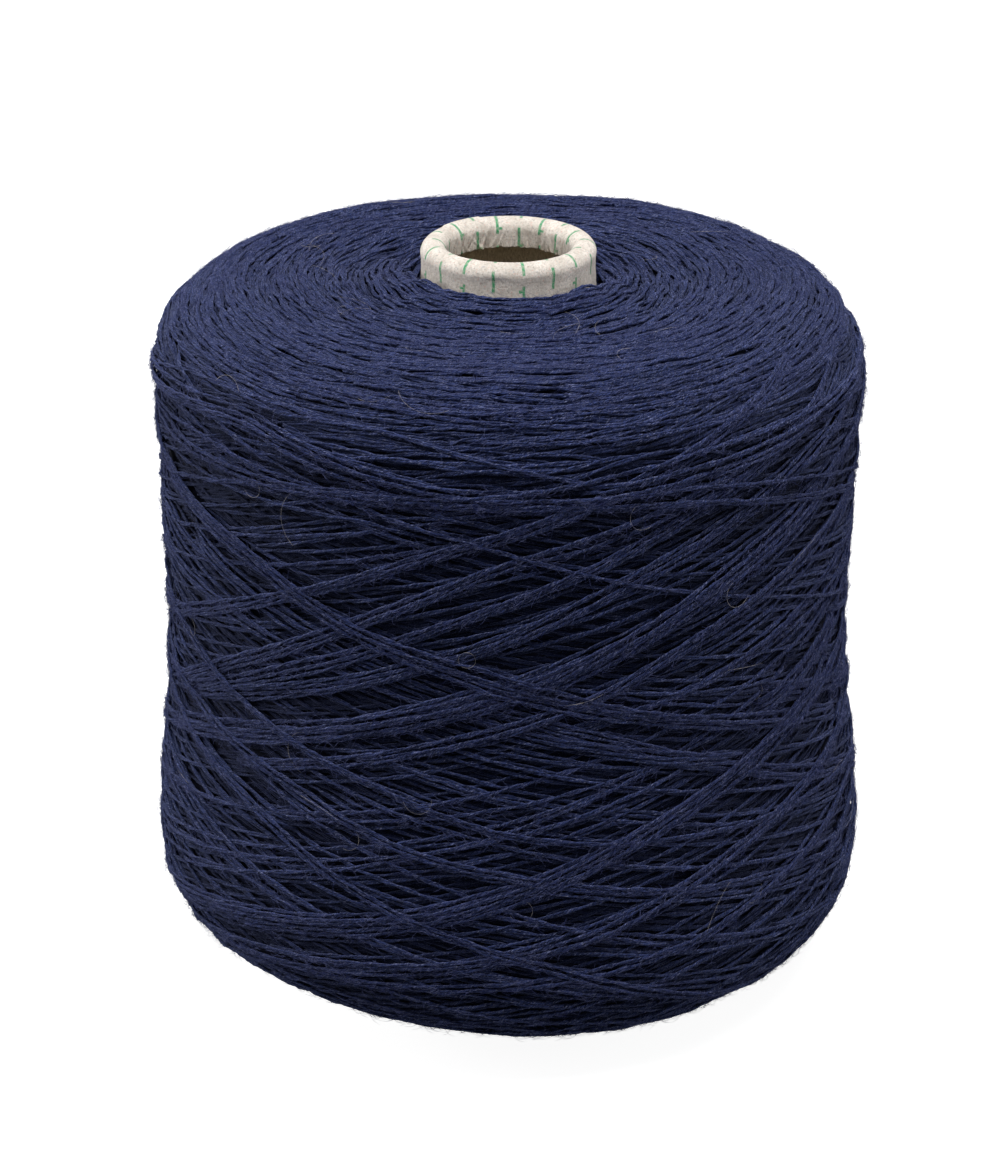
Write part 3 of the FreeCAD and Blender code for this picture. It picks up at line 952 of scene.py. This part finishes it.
# Painted shade: strands lying deep under the crests are darkened to near-black navy.
navy = yarn.mix(navy, screen(1, 5, 30), deep * 0.92)
surfaced(
    yarn,
    fibres * 0.34 + tufts * 0.22,
    Base_Color=navy,
    Roughness=0.8 - tufts * 0.1,
    Specular_IOR_Level=0.07,
    Specular_Tint=(0.45, 0.6, 1.0, 1.0),
    Sheen_Weight=0.2,
    Sheen_Roughness=0.5,
    Sheen_Tint=(0.49, 0.55, 0.95, 1.0),
)

HAIRY_SHADE = 0.15             # how much painted shade a run may carry and still grow loose fibres
strand_pieces, hair_roots = [], []
for kind in ("bottom", "side", "top"):
    runs = []
    for number, strand in enumerate(laid):
        if strand["kind"] == kind:
            runs += shown_runs(number)
    hair_roots += [run for run in runs if run.deep.mean() < HAIRY_SHADE]
    batch, faces, batches = [], 0, 0
    for run in runs:
        batch.append(run)
        faces += 2 * 2 * PLY_SIDES * len(run.points)
        if faces > PIECE_FACES or run is runs[-1]:
            batches += 1
            strand_pieces.append(strand_piece(f"yarn_{kind}_{batches}", batch))
            batch, faces = [], 0
for piece in strand_pieces:
    finish_yarn(piece, yarn_finish)


# ---- Fuzz ----
# Woollen yarn is never smooth: short ends of fibre stand off every strand, and a few long
# loose ones curl over the winding. They are as thin as so many fibres can be drawn.

FIBRE_SIDES = 3
SHORT_PIECES, SHORT_FIBRES, LONG_FIBRES = 7, 13000, 80
chance = np.random.default_rng(21)
root_points, root_across, root_out = (
    np.concatenate([run[k][:-1] for run in hair_roots]) for k in range(3)
)
root_along = np.cross(root_out, root_across)


def fuzz_piece(name, count, lengths, half_thick, rings, lift, curl, above=0):
    """A mesh of loose fibres. Each starts on a strand above a height, runs mostly along it and
    stands off it, more or less as lift says, and bends by about curl radians."""
    pick = chance.choice(np.flatnonzero(root_points[:, 2] > above), count)
    t, n, b = root_along[pick], root_out[pick], root_across[pick]
    step = (chance.uniform(*lengths, count) / (rings - 1))[:, None]
    heading = chance.normal(0, 0.55, count) + chance.choice([0, math.pi], count)
    bend = chance.normal(0, curl, count)
    stands = np.abs(chance.normal(0, lift, count))
    place = root_points[pick] + n * 0.25 + b * chance.uniform(-0.5, 0.5, count)[:, None]
    points = []
    for ring in range(rings):
        facing = np.cos(heading)[:, None] * t + np.sin(heading)[:, None] * b
        facing = facing + n * (stands * (1 - 1.5 * ring / (rings - 1)))[:, None]
        facing /= np.linalg.norm(facing, axis=1)[:, None]
        side = np.cross(facing, n)
        side /= np.linalg.norm(side, axis=1)[:, None]
        over = np.cross(side, facing)
        half = half_thick if ring < rings - 1 else half_thick * 0.4
        for corner in range(FIBRE_SIDES):
            a = corner / FIBRE_SIDES * WHOLE
            points.append(place + (side * math.cos(a) + over * math.sin(a)) * half)
        place = place + facing * step
        heading = heading + bend / rings
    points = np.stack(points, 1).reshape(-1, 3) * MM
    return tube_mesh(name, points, np.full(count, rings), FIBRE_SIDES)[0]


def fibre_finish(name, low, high):
    """The finish of loose fibres, from a low to a high colour."""
    material, fuzz = finish_named(name)
    shade = fuzz.noise(fuzz.node("TexCoord", out="Object"), 700.0, 2.0, 0.6)
    surfaced(
        fuzz,
        shade * 0.01,
        Base_Color=fuzz.mix(low, high, shade.between(0.35, 0.7)),
        Roughness=0.85 - shade * 0.1,
        Specular_IOR_Level=0.12,
    )
    return material


navy_fibre = fibre_finish("loose_navy_fibres", screen(46, 53, 98), screen(100, 106, 148))
pale_fibre = fibre_finish("stray_pale_fibres", screen(104, 104, 120), screen(176, 170, 168))
for n in range(SHORT_PIECES):
    short = fuzz_piece(f"yarn_fuzz_{n + 1}", SHORT_FIBRES, (0.9, 3.4), 0.028, 3, 0.4, 1.2)
    finish_yarn(short, navy_fibre)
long = fuzz_piece("yarn_fuzz_long", LONG_FIBRES, (6.0, 14.0), 0.035, 16, 0.16, 2.2, above=35)
finish_yarn(long, pale_fibre)


# ---- Floor, light and camera ----
# A pale table top and plain soft studio light, mostly from above, with a weak glow at the sides.
# The room looks white to the camera and in reflections, and gives only a weak light itself.

floor_mesh = bpy.data.meshes.new("floor")
floor_mesh.from_pydata([(-4, -4, 0), (4, -4, 0), (4, 4, 0), (-4, 4, 0)], [], [(0, 1, 2, 3)])
floor = in_scene("floor", floor_mesh)
floor_finish, pale_top = finish_named("pale_floor")
seen = pale_top.node("LightPath", out="Is Camera Ray")
lit = pale_top.node("BsdfDiffuse", None, {"Color": (0.3, 0.3, 0.3, 1)})
shown = pale_top.node("BsdfDiffuse", None, {"Color": (0.6, 0.6, 0.6, 1)})
glow = pale_top.node("Emission", None, {"Color": (1, 1, 1, 1), "Strength": 0.9})
both = pale_top.node("AddShader", None, {0: shown, 1: glow})
chosen = pale_top.node("MixShader", None, {0: seen, 1: lit, 2: both})
pale_top.node("OutputMaterial", None, {"Surface": chosen})
floor_mesh.materials.append(floor_finish)


def softbox(name, place, aim, width, height, watts):
    """A soft rectangular lamp that faces a point."""
    lamp = bpy.data.lights.new(name, "AREA")
    lamp.shape = "RECTANGLE"
    lamp.size, lamp.size_y, lamp.energy = width, height, watts
    holder = in_scene(name, lamp)
    holder.location = place
    holder.rotation_euler = (Vector(aim) - Vector(place)).to_track_quat("-Z", "Y").to_euler()


softbox("top_light", (0.0, -0.30, 1.12), (0, 0, 0.1), 0.8, 0.7, 16.2)
softbox("left_light", (-0.95, 0.18, 0.26), (0, 0, 0.1), 0.5, 0.36, 5.4)
softbox("right_light", (0.95, 0.15, 0.2), (0, 0, 0.08), 0.5, 0.36, 3.0)

world = bpy.data.worlds.new("studio")
bpy.context.scene.world = world
world.use_nodes = True
world.node_tree.nodes.clear()
sky = Shade(world.node_tree)
direct, mirrored, through = (
    sky.node("LightPath", out=f"Is {kind} Ray") for kind in ("Camera", "Glossy", "Transmission")
)
white = (direct + mirrored + through).between(0.1, 0.9)
room = sky.node("Background", None, {"Color": (1, 1, 1, 1), "Strength": 0.12})
plain = sky.node("Background", None, {"Color": (1, 1, 1, 1), "Strength": 1.0})
sky.node("OutputWorld", None, {"Surface": sky.node("MixShader", None, {0: white, 1: room, 2: plain})})

lens = bpy.data.cameras.new("camera")
lens.lens, lens.sensor_width = 93.47, 36.0
lens.clip_start, lens.clip_end = 0.01, 20
camera = in_scene("camera", lens)
camera.location = (-0.0018, -0.6151, 0.36905)
aim = Vector((-0.0018, 0, 0.09005))
camera.rotation_euler = (aim - camera.location).to_track_quat("-Z", "Y").to_euler()
bpy.context.scene.camera = camera
bpy.context.scene.view_settings.view_transform = "Standard"
